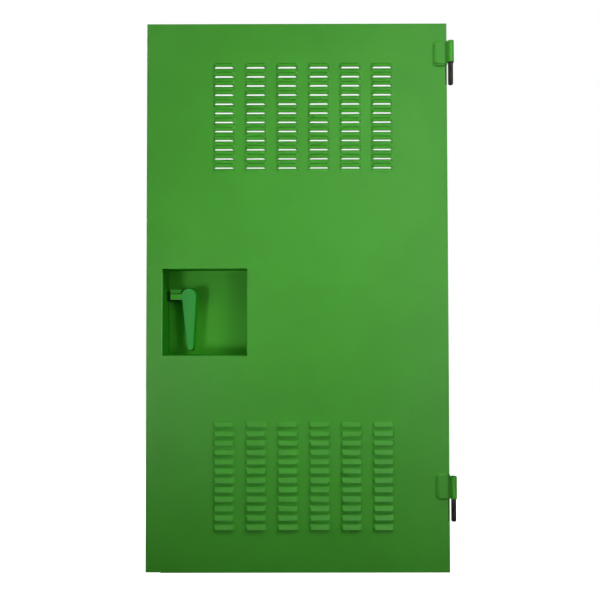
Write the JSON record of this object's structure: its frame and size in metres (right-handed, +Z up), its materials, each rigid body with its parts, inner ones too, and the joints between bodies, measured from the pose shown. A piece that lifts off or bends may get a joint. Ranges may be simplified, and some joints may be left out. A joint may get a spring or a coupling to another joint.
{
  "type": "louvred access door",
  "caption": "Louvred sheet-metal access door for a battery box, with a recessed lever latch, a sliding bolt and lift-off hinge pins.",
  "frame": {"origin": "on the hinge axis, at the lower barrel's lower bearing face; the axis lies in the plane of the door's front sheet", "axes": "+Z up along the hinge axis, +Y into the box, so the door's front faces -Y, and +X from the latch side towards the hinge side"},
  "size_m": [0.5627, 0.0847, 1],
  "materials": {
    "green_paint": "semi-gloss powder coat",
    "dark_steel": "black oxide, lightly oiled",
    "zinc_plate": "zinc plated, satin",
    "bearing_bronze": "machined, dull",
    "seal_rubber": "matt closed-cell foam rubber"
  },
  "bodies": {
    "door": {"door_skin": "green_paint", "latch_pocket": "green_paint", "bolt_wear_plate": "green_paint", "bolt_guide": "green_paint", "pivot_bush": "bearing_bronze", "upper_hinge_leaf": "green_paint", "upper_hinge_barrel": "green_paint", "upper_hinge_pin": "dark_steel", "upper_hinge_doubler": "green_paint", "lower_hinge_leaf": "green_paint", "lower_hinge_barrel": "green_paint", "lower_hinge_pin": "dark_steel", "lower_hinge_doubler": "green_paint", "seal_left": "seal_rubber", "seal_right": "seal_rubber", "seal_bottom": "seal_rubber", "seal_top": "seal_rubber"},
    "lever": {"latch_lever": "green_paint", "lever_spindle": "zinc_plate", "crank_pin": "dark_steel", "lever_spacer": "zinc_plate", "spindle_washer": "zinc_plate", "spindle_nut": "zinc_plate"},
    "bolt": {"slide_bolt": "dark_steel"}
  },
  "joints": [
    {"name": "lever_turn", "type": "hinge", "parent": "door", "child": "lever", "pos_m": [-0.4826, 0, 0.3674], "axis": [0, -1, 0], "range_deg": [0, 90]},
    {"name": "bolt_slide", "type": "slide", "parent": "door", "child": "bolt", "axis": [1, 0, 0], "range_m": [0, 0.01344]}
  ],
  "couplings": [
    {"joint": "bolt_slide", "follows": "lever_turn", "m_per_rad": 0.008553}
  ]
}
